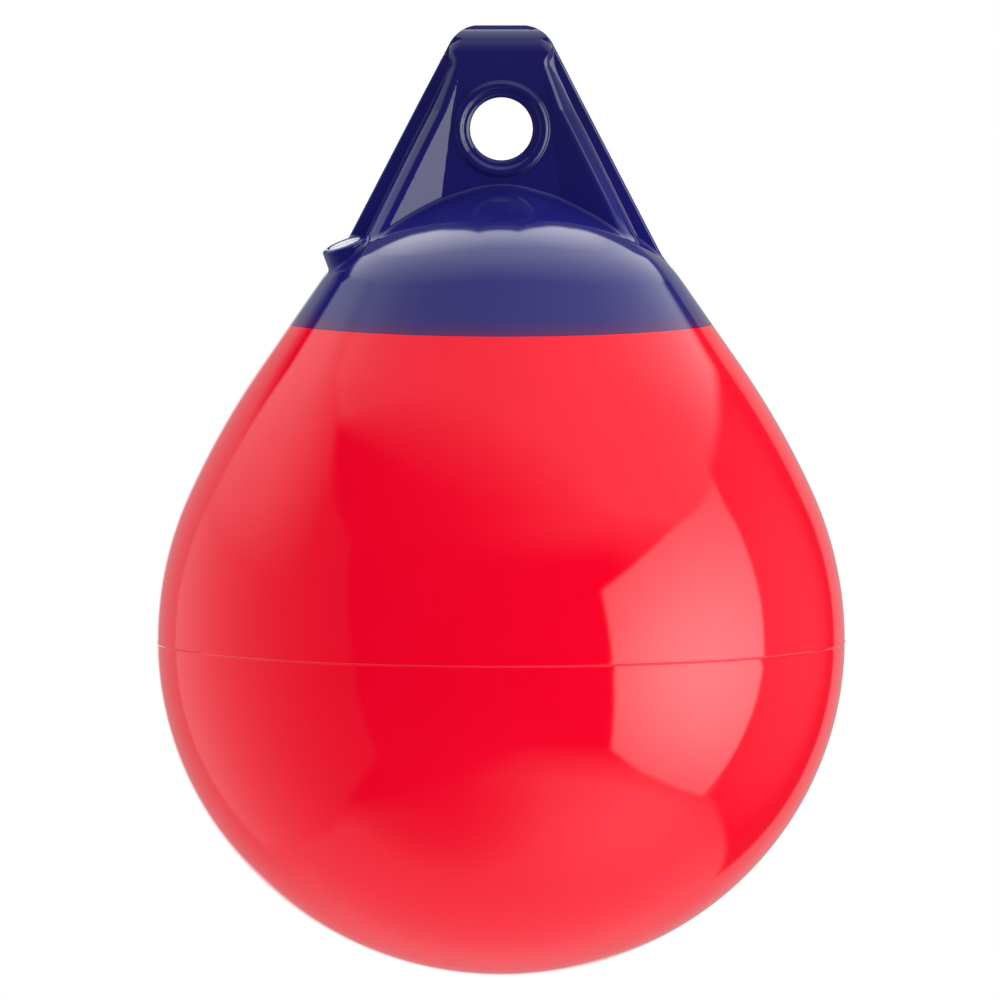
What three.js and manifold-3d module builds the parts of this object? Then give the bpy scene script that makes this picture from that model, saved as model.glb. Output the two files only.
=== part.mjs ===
// Inflatable ball fender: a hollow soft-PVC ball under a moulded rope hold with a rope eye and a valve.
//
// Millimetres, +Z up. The origin is the centre of the rope eye, where the fender hangs. X runs along the
// web of the rope hold, Y through the rope eye. The valve sits on the shoulder at -X, turned a little to -Y.

import * as THREE from 'three';
import { mergeVertices } from 'three/addons/utils/BufferGeometryUtils.js';
import Module from 'manifold-3d';

const wasm = await Module();
wasm.setup();

const degrees = THREE.MathUtils.degToRad;
const right_angle = degrees(90);
const half_turn = degrees(180);

// Ball: the lower half is nearly a half sphere
const ball_radius = 140;
const ball_bottom_height = 136.5;
const equator_depth = 208;
const ball_wall = 2.8;
const seam_height = 0.5;
const seam_width = 1.6;

// Flank: two arcs lead from the widest place into a straight cone
const flank_arc_radius = 146;
const flank_arc_end = degrees(24.6);
const neck_arc_radius = 335;
const cone_half_angle = degrees(34.9);

// Cap of the rope hold: the cone turns over a shoulder and a flatter brow into a low dome
const colour_line_depth = 81;
const cone_top_depth = 61.5;
const shoulder_radius = 54;
const brow_slope = degrees(38);
const brow_radius = 160;
const dome_slope = degrees(20);
const crown_radius = 45;
const cap_wall = 3.4;

// Lap joint: the thinned edge of the cap lies over the thinned edge of the ball
const lap_height = 10;
const skirt_thickness = 1.1;
const fit_gap = 0.3;

// Web: a tent-shaped block through the rope eye, seen from the front as a wedge
const web_half_thickness = 11;
const fin_half_span = 38.8;
const fin_lean = degrees(27.4);
const fin_half_thickness = 4.5;
const panel_half_width = 20.3;
const panel_lean = degrees(7.2);
const facet_angle = degrees(33);
const rib_width = 5.2;
const groove_width = 5.4;
const groove_top = 29.5;
const groove_run_out = 1.2;
const web_root = 3;

// Roundings of the web's edges, as the length that each takes from its corner
const crease_rounding = 1.5;
const rib_rounding = 2.4;
const groove_rounding = 1;
const fin_rounding = 4.2;
const least_facet = 1.5;
const least_rib_share = 0.6;
const largest_floor_share = 0.6;
const largest_edge_share = 0.8;
const groove_lift = 1;
const largest_cut_share = 0.45;

// Head: the rounded top of the web
const head_top = 41.8;
const head_corner_radius = 14;
const nose_radius = 8.5;
const head_rounding = 4;

// Rope eye with a raised bead round it on both faces
const eye_radius = 12.9;
const eye_lip_radius = 2.2;
const bead_inner_radius = 15.3;
const bead_outer_radius = 19.5;
const bead_height = 1.6;
const bead_root_height = 0.4;
const bead_overlap = 1;

// Valve boss on the shoulder
const boss_radius = 9.75;
const boss_rim_distance = 10.5;
const boss_bearing = degrees(10.5);
const boss_height = 4.6;
const boss_lean_out = degrees(20);
const boss_lean_front = degrees(8.5);
const boss_root = 12;
const boss_edge_radius = 1.5;
const socket_radius = 7.3;
const socket_depth = 4.6;
const valve_bore_radius = 5.5;
const driver_reach = 26;

// Valve: a flanged bush with a loose flap in its foot, closed by a screw on a washer
const bush_flange_thickness = 1.2;
const bush_length = 14.2;
const bush_bore_radius = 2.7;
const bush_foot_bore_radius = 2.3;
const flap_chamber_radius = 4.1;
const flap_chamber_height = 1.9;
const bush_foot_thickness = 1.1;
const flap_thickness = 1.3;
const washer_thickness = 0.9;
const plug_head_thickness = 1.4;
const plug_length = 9.5;
const plug_slot_width = 1.8;
const plug_slot_depth = 0.8;

// Facets
const ball_segments = 56;
const small_segments = 28;
const eye_segments = 40;
const rounding_steps = 3;
const nose_steps = 5;
const bead_steps = 4;
const crown_steps = 2;
const brow_steps = 4;
const shoulder_steps = 3;
const outer_steps = { bottom: 13, flank: 5, neck: 4 };
const inner_steps = { bottom: 10, flank: 4, neck: 3 };

const paint = {
  red_vinyl: new THREE.MeshStandardMaterial({ color: '#ea0a2c', roughness: 0.22, metalness: 0 }),
  blue_vinyl: new THREE.MeshStandardMaterial({ color: '#26225e', roughness: 0.22, metalness: 0 }),
  bush_nylon: new THREE.MeshStandardMaterial({ color: '#d8d8d2', roughness: 0.45, metalness: 0 }),
  plug_nylon: new THREE.MeshStandardMaterial({ color: '#dfe2ea', roughness: 0.35, metalness: 0 }),
  washer_rubber: new THREE.MeshStandardMaterial({ color: '#1b1b1e', roughness: 0.7, metalness: 0 }),
  flap_rubber: new THREE.MeshStandardMaterial({ color: '#3a3a3e', roughness: 0.75, metalness: 0 }),
};

const point = (x, y) => new THREE.Vector2(x, y);
const reach = (angle, length) => point(Math.cos(angle), Math.sin(angle)).multiplyScalar(length);

// Solids

// Turns a closed geometry into a solid for the boolean cuts and joins.
function solid(geometry) {
  const bare = geometry.clone();
  bare.deleteAttribute('normal');
  bare.deleteAttribute('uv');
  const welded = mergeVertices(bare);
  const corners = welded.index.array;
  const triangles = [];
  for (let i = 0; i < corners.length; i += 3) {
    const [a, b, c] = [corners[i], corners[i + 1], corners[i + 2]];
    if (a !== b && b !== c && c !== a) triangles.push(a, b, c);
  }
  return new wasm.Manifold(new wasm.Mesh({
    numProp: 3,
    vertProperties: new Float32Array(welded.attributes.position.array),
    triVerts: new Uint32Array(triangles),
  }));
}

// Turns a solid back into a geometry.
function surface(body) {
  const mesh = body.getMesh();
  const geometry = new THREE.BufferGeometry();
  geometry.setAttribute('position', new THREE.BufferAttribute(mesh.vertProperties, 3));
  geometry.setIndex(new THREE.BufferAttribute(mesh.triVerts, 1));
  geometry.computeVertexNormals();
  return geometry;
}

// Revolves an outline of (radius, height) points round Z.
function revolve(outline, segments) {
  return new THREE.LatheGeometry(outline, segments).rotateX(right_angle);
}

// A round bar along Z.
function bar(radius, bottom, top, segments = small_segments) {
  return revolve([point(0, bottom), point(radius, bottom), point(radius, top), point(0, top)], segments);
}

// Skins a stack of level sections with equal numbers of points, and closes both ends.
function loft(sections, heights) {
  const count = sections[0].length;
  const positions = sections.flatMap((section, level) => section.flatMap((p) => [p.x, p.y, heights[level]]));
  const faces = [];
  for (let level = 1; level < sections.length; level += 1) {
    const high = level * count;
    const low = high - count;
    for (let i = 0; i < count; i += 1) {
      const next = (i + 1) % count;
      faces.push(low + i, low + next, high + next, low + i, high + next, high + i);
    }
  }
  const top = positions.length / 3 - count;
  for (const [a, b, c] of THREE.ShapeUtils.triangulateShape(sections[0], [])) {
    faces.push(a, c, b);
  }
  for (const [a, b, c] of THREE.ShapeUtils.triangulateShape(sections.at(-1), [])) {
    faces.push(top + a, top + b, top + c);
  }
  const geometry = new THREE.BufferGeometry();
  geometry.setAttribute('position', new THREE.Float32BufferAttribute(positions, 3));
  geometry.setIndex(faces);
  return geometry;
}

// Outline of the whole fender, as (radius, height)

// Points on an arc, by the angle of its outward normal above the horizontal.
function arc(center, radius, from, to, steps) {
  return Array.from({ length: steps + 1 }, (_, i) => {
    const angle = THREE.MathUtils.lerp(from, to, i / steps);
    return center.clone().add(reach(angle, radius));
  });
}

const equator = -equator_depth;
const colour_line = -colour_line_depth;
const cone_top = -cone_top_depth;
const brow_normal = right_angle - brow_slope;
const dome_normal = right_angle - dome_slope;

const flank_center = point(ball_radius - flank_arc_radius, equator);
const neck_center = flank_center.clone().add(reach(flank_arc_end, flank_arc_radius - neck_arc_radius));
const neck_end = neck_center.clone().add(reach(cone_half_angle, neck_arc_radius));

// Radius of the cone at a height, for the outer face or for one that lies some way inside it.
function cone_radius(height, inset = 0) {
  const slope = Math.tan(cone_half_angle);
  return neck_end.x - (height - neck_end.y) * slope - inset / Math.cos(cone_half_angle);
}

const shoulder_center = point(cone_radius(cone_top), cone_top).sub(reach(cone_half_angle, shoulder_radius));
const brow_center = shoulder_center.clone().sub(reach(brow_normal, brow_radius - shoulder_radius));
const brow_end = brow_center.clone().add(reach(dome_normal, brow_radius));
const crown_start = crown_radius * Math.sin(dome_slope);
const crown_edge = brow_end.y + (brow_end.x - crown_start) * Math.tan(dome_slope);
const crown_center = point(0, crown_edge - crown_radius * Math.cos(dome_slope));

// Ball from its bottom pole up to just below its widest place.
function bottom_outline(inset, steps) {
  return Array.from({ length: steps }, (_, i) => {
    const angle = right_angle * (i / steps - 1);
    return point(
      (ball_radius - inset) * Math.cos(angle),
      equator + (ball_bottom_height - inset) * Math.sin(angle),
    );
  });
}

// Flank from the widest place up to the end of the second arc.
function flank_outline(inset, steps) {
  const flank = arc(flank_center, flank_arc_radius - inset, 0, flank_arc_end, steps.flank);
  const neck = arc(neck_center, neck_arc_radius - inset, flank_arc_end, cone_half_angle, steps.neck);
  return [...flank, ...neck.slice(1)];
}

// Shoulder, brow and dome from the top of the cone to the axis.
function dome_outline(inset) {
  const bend = shoulder_radius - inset;
  const shoulder = arc(shoulder_center, bend, cone_half_angle, brow_normal, shoulder_steps);
  const brow = arc(brow_center, brow_radius - inset, brow_normal, dome_normal, brow_steps);
  const crown = arc(crown_center, crown_radius - inset, dome_normal, right_angle, crown_steps);
  crown.at(-1).x = 0;
  return [...shoulder, ...brow.slice(1), ...crown];
}

const lap_top = colour_line + lap_height;

function ball_body() {
  const bead_side = seam_width / 2;
  const bead_flat = seam_width / 4;
  const seam = [
    point(ball_radius, equator - bead_side),
    point(ball_radius + seam_height, equator - bead_flat),
    point(ball_radius + seam_height, equator + bead_flat),
    point(ball_radius, equator + bead_side),
  ];
  const bottom = bottom_outline(0, outer_steps.bottom);
  const outer = [...bottom, ...seam, ...flank_outline(0, outer_steps).slice(1)];
  const lip_inset = skirt_thickness + fit_gap;
  const lip_top = lap_top - fit_gap;
  const lap = [
    point(cone_radius(colour_line), colour_line),
    point(cone_radius(colour_line, lip_inset), colour_line),
    point(cone_radius(lip_top, lip_inset), lip_top),
    point(cone_radius(lip_top, ball_wall), lip_top),
  ];
  const inner = [...bottom_outline(ball_wall, inner_steps.bottom), ...flank_outline(ball_wall, inner_steps)];
  const outline = [...outer, ...lap, ...inner.reverse()];
  outline[0].x = 0;
  outline.at(-1).x = 0;
  return revolve(outline, ball_segments);
}

// Rope hold

// Half span of the web at a height: two leaning sides that round over into the flat top of the head.
function web_half_span(height) {
  const arc_center = head_top - head_corner_radius;
  const arc_start = arc_center + head_corner_radius * Math.sin(fin_lean);
  const leaning = (z) => fin_half_span - z * Math.tan(fin_lean);
  if (height <= arc_start) return leaning(height);
  const flat = leaning(arc_start) - head_corner_radius * Math.cos(fin_lean);
  const rise = Math.min(height - arc_center, head_corner_radius);
  return flat + Math.sqrt(head_corner_radius ** 2 - rise ** 2);
}

// How far the rounded nose of the head draws the front face back at a height.
function nose_setback(height) {
  const rise = THREE.MathUtils.clamp(height - (head_top - nose_radius), 0, nose_radius);
  return nose_radius - Math.sqrt(nose_radius ** 2 - rise ** 2);
}

// Replaces the inner corners of an open polyline with short curves that start some way from the corner.
function round_corners(corners, roundings) {
  const rounded = [corners[0]];
  for (let i = 1; i < corners.length - 1; i += 1) {
    const back = corners[i - 1].clone().sub(corners[i]);
    const ahead = corners[i + 1].clone().sub(corners[i]);
    const room = Math.min(back.length(), ahead.length()) * largest_cut_share;
    const cut = Math.min(roundings[i - 1], room);
    const start = corners[i].clone().add(back.setLength(cut));
    const end = corners[i].clone().add(ahead.setLength(cut));
    const curve = new THREE.QuadraticBezierCurve(start, corners[i], end);
    rounded.push(...curve.getPoints(rounding_steps));
  }
  return [...rounded, corners.at(-1)];
}

// Level section of the web: panel, facet, rib, groove and fin in one quarter, mirrored to all four.
function web_section(height) {
  const span = web_half_span(height);
  const setback = nose_setback(height);
  const rib_inner = Math.max(span - groove_width - rib_width, span * least_rib_share);
  const crease = Math.min(panel_half_width - height * Math.tan(panel_lean), rib_inner - least_facet);
  const rise = Math.max(rib_inner - least_facet - crease, 0) * Math.tan(facet_angle);
  const front = web_half_thickness - setback;
  const groove = THREE.MathUtils.clamp((groove_top - height) / groove_run_out, 0, 1);
  const wall = span - groove_width * groove;
  const floor = Math.min(fin_half_thickness + groove_lift * (1 - groove), front * largest_floor_share);
  const edge = Math.min(fin_half_thickness, floor * largest_edge_share);
  const corners = [
    point(0, -front),
    point(crease, -front),
    point(rib_inner, -front - rise),
    point(wall, -front - rise),
    point(wall, -floor),
    point(span, groove > 0 ? -floor : -edge),
    point(span, 0),
  ];
  const corner_rounding = THREE.MathUtils.lerp(head_rounding, rib_rounding, groove);
  const roundings = [crease_rounding, crease_rounding, corner_rounding, groove_rounding, fin_rounding];
  const quarter = round_corners(corners, roundings);
  const right = [...quarter, ...quarter.slice(0, -1).reverse().map((p) => point(p.x, -p.y))];
  const left = right.slice(1, -1).reverse().map((p) => point(-p.x, p.y));
  return [...right, ...left];
}

function web() {
  const facet_start = (fin_half_span - groove_width - rib_width - panel_half_width)
    / (Math.tan(fin_lean) - Math.tan(panel_lean));
  const nose_heights = Array.from({ length: nose_steps + 1 }, (_, i) => (
    head_top - nose_radius * (1 - Math.sin(right_angle * i / nose_steps))
  ));
  const heights = [
    cone_top - web_root,
    cone_top / 2,
    facet_start,
    groove_top - groove_run_out,
    groove_top,
    ...nose_heights,
  ];
  return loft(heights.map(web_section), heights);
}

// Turns a revolved piece so that its axis runs through the rope eye.
function through_eye(geometry) {
  return geometry.rotateX(right_angle);
}

// Ring of the bead, mirrored on both faces of the web.
function eye_bead() {
  const middle = (bead_inner_radius + bead_outer_radius) / 2;
  const half_width = (bead_outer_radius - bead_inner_radius) / 2;
  const face = web_half_thickness;
  const crest = Array.from({ length: bead_steps + 1 }, (_, i) => {
    const angle = half_turn * (i / bead_steps);
    return point(middle + half_width * Math.cos(angle), face + bead_height * Math.sin(angle));
  });
  const root = face + bead_root_height;
  const half = [...crest, point(bead_inner_radius, root), point(eye_radius - bead_overlap, root)];
  const mirrored = half.map((p) => point(p.x, -p.y)).reverse();
  return through_eye(revolve([...half, ...mirrored, half[0]], eye_segments));
}

// The see-through hole, with a rounded lip where it leaves each face.
function eye_hole() {
  const face = web_half_thickness + bead_root_height;
  const lip_center = point(eye_radius + eye_lip_radius, face - eye_lip_radius);
  const lip = arc(lip_center, eye_lip_radius, half_turn, right_angle, rounding_steps);
  const outside = point(lip.at(-1).x, face + bead_height);
  const half = [...lip, outside, point(0, outside.y)];
  const mirrored = half.map((p) => point(p.x, -p.y)).reverse();
  return through_eye(revolve([...mirrored, ...half], eye_segments));
}

const boss_axis = new THREE.Vector3(
  -Math.sin(boss_lean_out),
  -Math.sin(boss_lean_front) * Math.cos(boss_lean_out),
  Math.cos(boss_lean_front) * Math.cos(boss_lean_out),
);
const boss_reach = cone_radius(cone_top) - boss_rim_distance;
const boss_seat = new THREE.Vector3(
  -boss_reach * Math.cos(boss_bearing),
  -boss_reach * Math.sin(boss_bearing),
  shoulder_center.y + Math.sqrt(shoulder_radius ** 2 - (boss_reach - shoulder_center.x) ** 2),
);
const boss_face = boss_seat.clone().addScaledVector(boss_axis, boss_height);
const boss_turn = new THREE.Quaternion().setFromUnitVectors(new THREE.Vector3(0, 0, 1), boss_axis);

// Moves a piece that was made on the Z axis, with the face of the boss at zero, into the boss.
function into_boss(geometry) {
  return geometry.applyQuaternion(boss_turn).translate(boss_face.x, boss_face.y, boss_face.z);
}

function valve_boss() {
  const edge_center = point(boss_radius - boss_edge_radius, -boss_edge_radius);
  const edge = arc(edge_center, boss_edge_radius, 0, right_angle, rounding_steps);
  const outline = [point(0, -boss_root), point(boss_radius, -boss_root), ...edge, point(0, 0)];
  return into_boss(revolve(outline, small_segments));
}

// Screwdriver room over the socket, the socket of the valve and the bore into the air space.
function valve_socket() {
  const outline = [
    point(0, -bush_length - boss_root),
    point(valve_bore_radius, -bush_length - boss_root),
    point(valve_bore_radius, -socket_depth),
    point(socket_radius, -socket_depth),
    point(socket_radius, driver_reach),
    point(0, driver_reach),
  ];
  return into_boss(revolve(outline, small_segments));
}

function rope_hold() {
  const cap = revolve([
    point(0, colour_line),
    point(cone_radius(colour_line), colour_line),
    ...dome_outline(0),
  ], ball_segments);
  const below = colour_line - lap_height;
  const hollow = revolve([
    point(0, below),
    point(cone_radius(below, skirt_thickness), below),
    point(cone_radius(lap_top, skirt_thickness), lap_top),
    point(cone_radius(lap_top, cap_wall), lap_top),
    ...dome_outline(cap_wall),
  ], ball_segments);
  const outside = solid(cap).add(solid(web())).add(solid(eye_bead())).add(solid(valve_boss()));
  return surface(outside.subtract(solid(hollow)).subtract(solid(eye_hole())).subtract(solid(valve_socket())));
}

// Valve pieces, made on the Z axis with the face of the boss at zero

const flange_bottom = -socket_depth + fit_gap;
const flange_top = flange_bottom + bush_flange_thickness;
const washer_bottom = flange_top + fit_gap;
const washer_top = washer_bottom + washer_thickness;
const plug_seat = washer_top + fit_gap;
const flange_radius = socket_radius - fit_gap;

function valve_insert() {
  const bush_radius = valve_bore_radius - fit_gap;
  const foot = flange_bottom - bush_length + bush_flange_thickness;
  const chamber_bottom = foot + bush_foot_thickness;
  const chamber_top = chamber_bottom + flap_chamber_height;
  const start = point(bush_foot_bore_radius, foot);
  return into_boss(revolve([
    start,
    point(bush_radius, foot),
    point(bush_radius, flange_bottom),
    point(flange_radius, flange_bottom),
    point(flange_radius, flange_top),
    point(bush_bore_radius, flange_top),
    point(bush_bore_radius, chamber_top),
    point(flap_chamber_radius, chamber_top),
    point(flap_chamber_radius, chamber_bottom),
    point(bush_foot_bore_radius, chamber_bottom),
    start,
  ], small_segments));
}

function valve_flap() {
  const foot = flange_bottom - bush_length + bush_flange_thickness;
  const rest = foot + bush_foot_thickness + fit_gap;
  return into_boss(bar(flap_chamber_radius - fit_gap, rest, rest + flap_thickness));
}

function plug_washer() {
  const start = point(bush_bore_radius, washer_bottom);
  const outer = flange_radius - 2 * fit_gap;
  return into_boss(revolve([
    start,
    point(outer, washer_bottom),
    point(outer, washer_top),
    point(bush_bore_radius, washer_top),
    start,
  ], small_segments));
}

function valve_plug() {
  const head_radius = flange_radius - fit_gap;
  const shank_radius = bush_bore_radius - fit_gap;
  const plug_top = plug_seat + plug_head_thickness;
  const body = revolve([
    point(0, plug_seat - plug_length),
    point(shank_radius, plug_seat - plug_length),
    point(shank_radius, plug_seat),
    point(head_radius, plug_seat),
    point(head_radius, plug_top),
    point(0, plug_top),
  ], small_segments);
  const slot = new THREE.BoxGeometry(2 * boss_radius, plug_slot_width, 2 * plug_slot_depth);
  slot.translate(0, 0, plug_top);
  return into_boss(surface(solid(body).subtract(solid(slot))));
}

// Assembly

const group = new THREE.Group();

function place(name, geometry, material) {
  const mesh = new THREE.Mesh(geometry, material);
  mesh.name = name;
  group.add(mesh);
}

place('ball_body', ball_body(), paint.red_vinyl);
place('rope_hold', rope_hold(), paint.blue_vinyl);
place('valve_insert', valve_insert(), paint.bush_nylon);
place('valve_flap', valve_flap(), paint.flap_rubber);
place('plug_washer', plug_washer(), paint.washer_rubber);
place('valve_plug', valve_plug(), paint.plug_nylon);

export default group;
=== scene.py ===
"""Inflatable ball fender: a red ball, its blue rope hold with a rope eye, and the inflation valve.

The shape classes hold their sizes in millimetres, and MM turns them into metres when a mesh is made.
The origin is the centre of the rope eye. Z is up, X runs along the web of the rope hold, Y through the eye.
"""

import cmath
import logging
import math
from collections.abc import Callable
from dataclasses import dataclass, field
from enum import Enum

import bmesh
import bpy
import numpy as np
from mathutils import Matrix, Vector


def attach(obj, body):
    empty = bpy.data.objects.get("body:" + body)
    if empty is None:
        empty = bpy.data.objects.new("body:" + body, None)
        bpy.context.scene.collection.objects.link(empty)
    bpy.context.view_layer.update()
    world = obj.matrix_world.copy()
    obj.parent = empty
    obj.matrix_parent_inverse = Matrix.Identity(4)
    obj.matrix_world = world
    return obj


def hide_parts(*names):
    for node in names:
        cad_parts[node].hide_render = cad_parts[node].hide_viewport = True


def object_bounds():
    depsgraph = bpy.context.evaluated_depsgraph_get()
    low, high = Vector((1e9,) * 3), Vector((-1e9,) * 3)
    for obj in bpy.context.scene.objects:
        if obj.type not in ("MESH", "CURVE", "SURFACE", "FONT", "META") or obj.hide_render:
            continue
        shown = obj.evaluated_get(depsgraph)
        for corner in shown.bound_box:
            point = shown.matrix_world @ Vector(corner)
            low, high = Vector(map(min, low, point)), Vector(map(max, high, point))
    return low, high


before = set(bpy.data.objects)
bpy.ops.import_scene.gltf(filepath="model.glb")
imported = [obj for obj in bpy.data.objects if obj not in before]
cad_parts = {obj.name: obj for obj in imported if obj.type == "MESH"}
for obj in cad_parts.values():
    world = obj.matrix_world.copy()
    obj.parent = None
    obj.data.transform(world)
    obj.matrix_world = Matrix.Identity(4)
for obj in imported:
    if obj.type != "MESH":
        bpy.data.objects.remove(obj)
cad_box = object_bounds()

MM = 0.001
QUARTER = math.pi / 2
X_AXIS = Vector((1, 0, 0))
Y_AXIS = Vector((0, 1, 0))
Z_AXIS = Vector((0, 0, 1))
BODY = "root"

log = logging.getLogger("ball_fender")


class Slot(Enum):
    """Material slots of the record."""

    RED_VINYL = "red_vinyl"
    BLUE_VINYL = "blue_vinyl"
    BUSH_NYLON = "bush_nylon"
    PLUG_NYLON = "plug_nylon"
    WASHER_RUBBER = "washer_rubber"
    FLAP_RUBBER = "flap_rubber"


class Shading(Enum):
    """Largest angle between two faces that still shade as one smooth surface, in degrees."""

    SMOOTH = 60.0
    EDGED = 28.0


# Shader nodes


class Signal:
    """A socket of a node tree, with arithmetic that adds Math nodes to the tree."""

    def __init__(self, graph: "Graph", socket: bpy.types.NodeSocket) -> None:
        """Holds the socket and the graph that new nodes go into."""
        self.graph = graph
        self.socket = socket

    def _math(self, operation: str, *values: "Signal | float", clamp: bool = False) -> "Signal":
        """Adds one Math node.

        Args:
            operation: The node's operation.
            values: What goes into its sockets, in order.
            clamp: Whether the result is held between 0 and 1.

        Returns:
            The node's result.
        """
        settings = {"operation": operation, "use_clamp": clamp}
        return self.graph.node("ShaderNodeMath", settings, dict(enumerate(values)))

    def __add__(self, other: "Signal | float") -> "Signal":
        """Sum."""
        return self._math("ADD", self, other)

    def __radd__(self, other: float) -> "Signal":
        """Sum with a number on the left."""
        return self._math("ADD", other, self)

    def __sub__(self, other: "Signal | float") -> "Signal":
        """Difference."""
        return self._math("SUBTRACT", self, other)

    def __rsub__(self, other: float) -> "Signal":
        """Difference from a number on the left."""
        return self._math("SUBTRACT", other, self)

    def __mul__(self, other: "Signal | float") -> "Signal":
        """Product."""
        return self._math("MULTIPLY", self, other)

    def __rmul__(self, other: float) -> "Signal":
        """Product with a number on the left."""
        return self._math("MULTIPLY", other, self)

    def __truediv__(self, other: "Signal | float") -> "Signal":
        """Quotient."""
        return self._math("DIVIDE", self, other)

    def __rtruediv__(self, other: float) -> "Signal":
        """Quotient of a number on the left."""
        return self._math("DIVIDE", other, self)

    def __pow__(self, other: float) -> "Signal":
        """Power."""
        return self._math("POWER", self, other)

    def least(self, other: "Signal | float") -> "Signal":
        """The smaller of two values."""
        return self._math("MINIMUM", self, other)

    def most(self, other: "Signal | float") -> "Signal":
        """The larger of two values."""
        return self._math("MAXIMUM", self, other)

    def exp(self) -> "Signal":
        """The exponential."""
        return self._math("EXPONENT", self)

    def ramp(self, low: float, high: float) -> "Signal":
        """A straight rise from 0 at one value to 1 at another, held between the two."""
        return self._math("MULTIPLY_ADD", self, 1 / (high - low), low / (low - high), clamp=True)

    def toward(self, other: "Signal | float", share: "Signal | float") -> "Signal":
        """This value, moved to another by a share of the way."""
        return self + (other - self) * share

    def dot(self, vector: Vector) -> "Signal":
        """Dot product of a vector signal and a fixed vector."""
        settings = {"operation": "DOT_PRODUCT"}
        return self.graph.node("ShaderNodeVectorMath", settings, {0: self, 1: vector}, "Value")

    def other(self, name: str) -> "Signal":
        """Another output of the same node."""
        return Signal(self.graph, self.socket.node.outputs[name])


class Graph:
    """A node tree that is filled from code."""

    def __init__(self, tree: bpy.types.NodeTree) -> None:
        """Empties the tree."""
        self.tree = tree
        tree.nodes.clear()

    def node(
        self,
        kind: str,
        settings: dict[str, object] | None = None,
        sockets: dict[str | int, object] | None = None,
        output: str | int = 0,
    ) -> Signal:
        """Adds one node.

        Args:
            kind: The node's type.
            settings: Its settings, which are set first.
            sockets: The value or link of each socket, by name or number.
            output: The output that is returned.

        Returns:
            The chosen output.
        """
        made = self.tree.nodes.new(kind)
        for name, value in (settings or {}).items():
            setattr(made, name, value)
        for key, value in (sockets or {}).items():
            self._feed(made.inputs[key], value)
        return Signal(self, made.outputs[output]) if made.outputs else None

    def _feed(self, socket: bpy.types.NodeSocket, value: object) -> None:
        """Links a signal to a socket, or sets the socket to a value.

        Args:
            socket: The socket.
            value: A signal, or a value that fits the socket.
        """
        if isinstance(value, Signal):
            self.tree.links.new(value.socket, socket)
        else:
            socket.default_value = value

    def mix(self, share: Signal, first: object, second: object) -> Signal:
        """Mixes two colours by a share."""
        return self.node("ShaderNodeMix", {"data_type": "RGBA"}, {0: share, 6: first, 7: second}, 2)

    def noise(self, place: Signal, length: float, detail: float = 2.0) -> Signal:
        """Noise from 0 to 1 with waves of a length in millimetres."""
        sockets = {"Vector": place, "Scale": 1 / (length * MM), "Detail": detail}
        return self.node("ShaderNodeTexNoise", {}, sockets)

    def bump(self, height: Signal, depth: float) -> Signal:
        """Normal of a surface that a height from 0 to 1 raises by a depth in millimetres."""
        sockets = {"Strength": 1.0, "Distance": depth * MM, "Height": height}
        return self.node("ShaderNodeBump", {}, sockets)


def new_material(name: str) -> tuple[bpy.types.Material, Graph, Signal]:
    """Makes an empty material.

    Args:
        name: Its name.

    Returns:
        The material, its graph, and the place on the object in metres.
    """
    material = bpy.data.materials.new(name)
    material.use_nodes = True
    graph = Graph(material.node_tree)
    return material, graph, graph.node("ShaderNodeTexCoord", output="Object")


def rgba(colour: tuple[float, float, float]) -> tuple[float, float, float, float]:
    """A colour with full alpha."""
    return (*colour, 1.0)


def between(share: Signal, limits: tuple[float, float]) -> Signal:
    """A value between two limits, by its share of the way from one to the other."""
    return limits[0] + (limits[1] - limits[0]) * share


# Outline of the fender


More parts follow.
